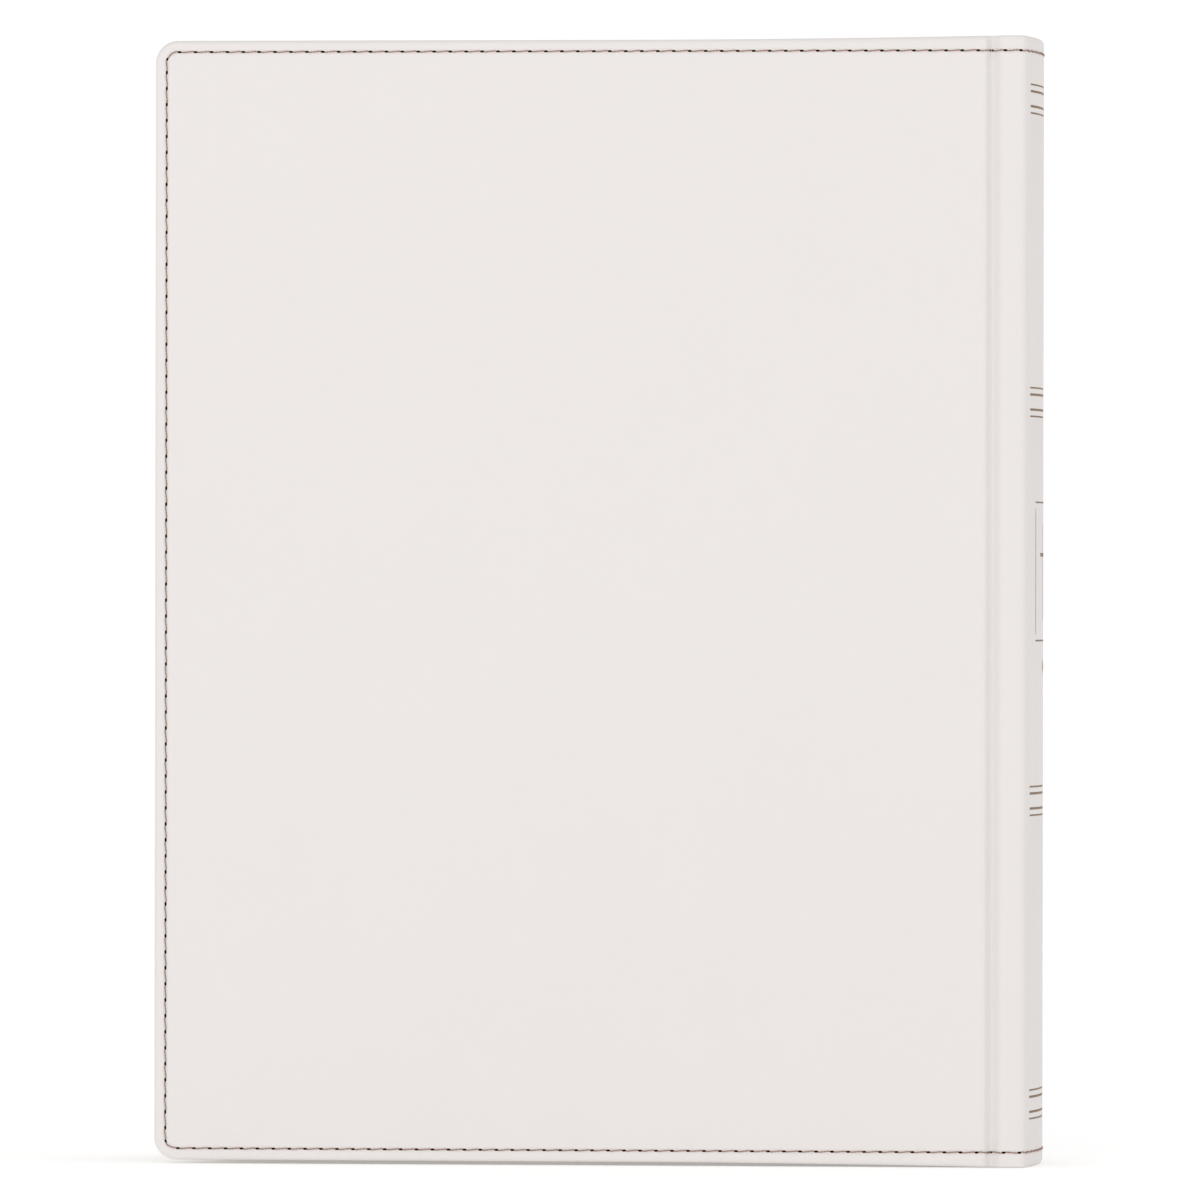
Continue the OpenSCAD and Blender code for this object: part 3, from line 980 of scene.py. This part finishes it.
def between(value, low, high, blur):
    """1 well inside low and high, and 0 well outside them, with soft steps."""
    return float(soft_step((value - low) / blur + 0.5) * soft_step((high - value) / blur + 0.5))


def near_steps(start, end, steps, spread):
    """Places from start to end, close together around each step and coarse between."""
    marks = {start, end, *np.linspace(start, end, 22)}
    for step in steps:
        marks.update(step + spread * t for t in (-1, -0.6, -0.3, 0, 0.3, 0.6, 1))
    return sorted(m for m in marks if start <= m <= end)


def pastedown(side):
    low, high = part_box("back_pastedown")
    flap_low, flap_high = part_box("back_gauze_flap")
    corner = mm(5)
    window = (Case.fore_x + Case.turn_in, Case.turn_in, Case.height - Case.turn_in)
    face = high[1]
    edge = mm(0.19)
    window_sink = mm(0.6)
    flap_rise = mm(0.2)
    blur = mm(1.1)
    xs = near_steps(low[0], high[0], (window[0], flap_low[0]), blur)
    xs = sorted({*xs, *(low[0] + corner * (1 - math.cos(a)) for a in np.linspace(0, 1.57, 8))})
    middle = Case.height / 2
    half = (high[2] - low[2]) / 2
    zs = near_steps(-half, half, (window[1] - middle, window[2] - middle,
                                  flap_low[2] - middle, flap_high[2] - middle), blur)
    shape = Shape()
    rows = []
    for x in xs:
        out = max(0.0, 1 - (x - low[0]) / corner)
        squeeze = (half - corner * (1 - math.sqrt(1 - out * out))) / half
        row = []
        for z in zs:
            at = middle + z * (squeeze if abs(z) > half - 2 * corner else 1.0)
            sunk = window_sink * between(x, window[0], 1.0, blur) * between(at, *window[1:], blur)
            flap = between(x, flap_low[0], 1.0, blur) * between(at, flap_low[2], flap_high[2], blur)
            row.append((x, face - sunk + flap_rise * flap, at))
        rows.append([(x, row[0][1] - edge, row[0][2]), *row, (x, row[-1][1] - edge, row[-1][2])])
    first = [(x, y - edge, z) for x, y, z in rows[0]]
    shape.grid([first, *rows])
    return shape.piece(f"{side}_pastedown_paper", ivory, side=side)


def hinge_paper(side, name, path):
    """A strip of endpaper as tall as the pages that follows a path in X and Y."""
    low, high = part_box("back_joint_endpaper")
    shape = Shape()
    path = np.array(path)
    tangent = np.gradient(path, axis=0)
    tangent /= np.linalg.norm(tangent, axis=1)[:, None]
    thick = mm(0.16)
    heights = np.linspace(low[2], high[2], 5)
    rows = []
    for (x, y), (tx, ty) in zip(path, tangent):
        face = [(x, y, z) for z in heights]
        back = [(x + ty * thick, y - tx * thick, z) for z in heights[::-1]]
        rows.append(face + back)
    shape.tube(rows)
    return shape.piece(name, ivory, side=side)


def groove_path():
    """From the board to the fold of the text block, along the inside of the leather."""
    inside = 2 * Case.skin + mm(0.22)
    fold_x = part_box("back_joint_endpaper")[1][0]
    knots = [(Case.board_edge - mm(0.6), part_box("back_pastedown")[1][1] - mm(0.32)),
             (Case.board_edge + mm(0.5), -(Case.half_thick - mm(2.98))),
             (Case.groove_bottom, inside - float(Case.outer_y(Case.groove_bottom))),
             (Case.groove_bottom + mm(0.9), inside - float(Case.outer_y(Case.groove_bottom + mm(0.9)))),
             (Case.groove_end, inside - Case.half_thick),
             (fold_x - mm(0.1), -mm(16.42))]
    knots = np.array(knots)
    gaps = np.concatenate([[0], np.cumsum(np.linalg.norm(np.diff(knots, axis=0), axis=1))])
    s = np.linspace(0, gaps[-1], 140)
    line = np.stack([np.interp(s, gaps, knots[:, k]) for k in (0, 1)], axis=1)
    for _ in range(14):
        line[1:-1] = (line[:-2] + line[1:-1] + line[2:]) / 3
    return line


ivory = endpaper()
coat_solids(ivory, "back_flyleaf", "front_flyleaf")
hinge_line = groove_path()
split = int(np.searchsorted(hinge_line[:, 0], Case.groove_bottom + mm(0.3)))
for side in ("back", "front"):
    pasted = pastedown(side)
    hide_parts(f"{side}_pastedown")
    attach(pasted, f"{side}_cover")
    board_paper = hinge_paper(side, f"{side}_board_edge_paper", hinge_line[:split + 1])
    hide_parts(f"{side}_joint_endpaper")
    bend_at_board(board_paper, side)
    fold_paper = hinge_paper(side, f"{side}_shoulder_paper", hinge_line[split:])
    bend_at_shoulder(fold_paper, side)

# ---- Studio ----
# A sweep of white paper under and behind the book, a bright even room, a large soft light nearly
# in front, a little to the left, and a weak one from the right.


def studio_paper():
    look = Look("studio_paper")
    grain = look.noise(mm(3), detail=2.0)
    return look.surface(look.mix(grain, (0.93, 0.93, 0.93), (0.95, 0.95, 0.95)), 0.95,
                        Specular_IOR_Level=0.1, Emission_Color=(1.0, 1.0, 1.0), Emission_Strength=0.2)


def sweep():
    reach = 8.0
    radius = 2.0
    start = reach - radius
    line = [(-reach, 0.0), (start, 0.0)]
    line += [(start + radius * math.sin(a), radius * (1 - math.cos(a)))
             for a in np.linspace(0, math.pi / 2, 25)[1:]]
    line += [(reach, reach)]
    shape = Shape()
    shape.grid([[(x, y, z - mm(0.05)) for y, z in line] for x in (-reach, reach)])
    return shape.piece("sweep", studio_paper())


def soft_light(name, place, size, power):
    data = bpy.data.lights.new(name, "AREA")
    data.shape = "SQUARE"
    data.size = size
    data.energy = power
    light = bpy.data.objects.new(name, data)
    light.location = place
    aim = Vector((0.0, 0.0, Case.height / 2)) - Vector(place)
    light.rotation_euler = aim.to_track_quat("-Z", "Y").to_euler()
    bpy.context.scene.collection.objects.link(light)


sweep()
soft_light("key", (-0.5, -2.25, 0.22), 1.4, 16.0)
soft_light("fill", (2.2, -0.9, 0.6), 1.6, 3.4)
world = bpy.data.worlds.new("room")
world.use_nodes = True
world.node_tree.nodes["Background"].inputs["Color"].default_value = (1.0, 1.0, 1.0, 1.0)
world.node_tree.nodes["Background"].inputs["Strength"].default_value = 0.82
bpy.context.scene.world = world
bpy.context.scene.view_settings.view_transform = "Standard"
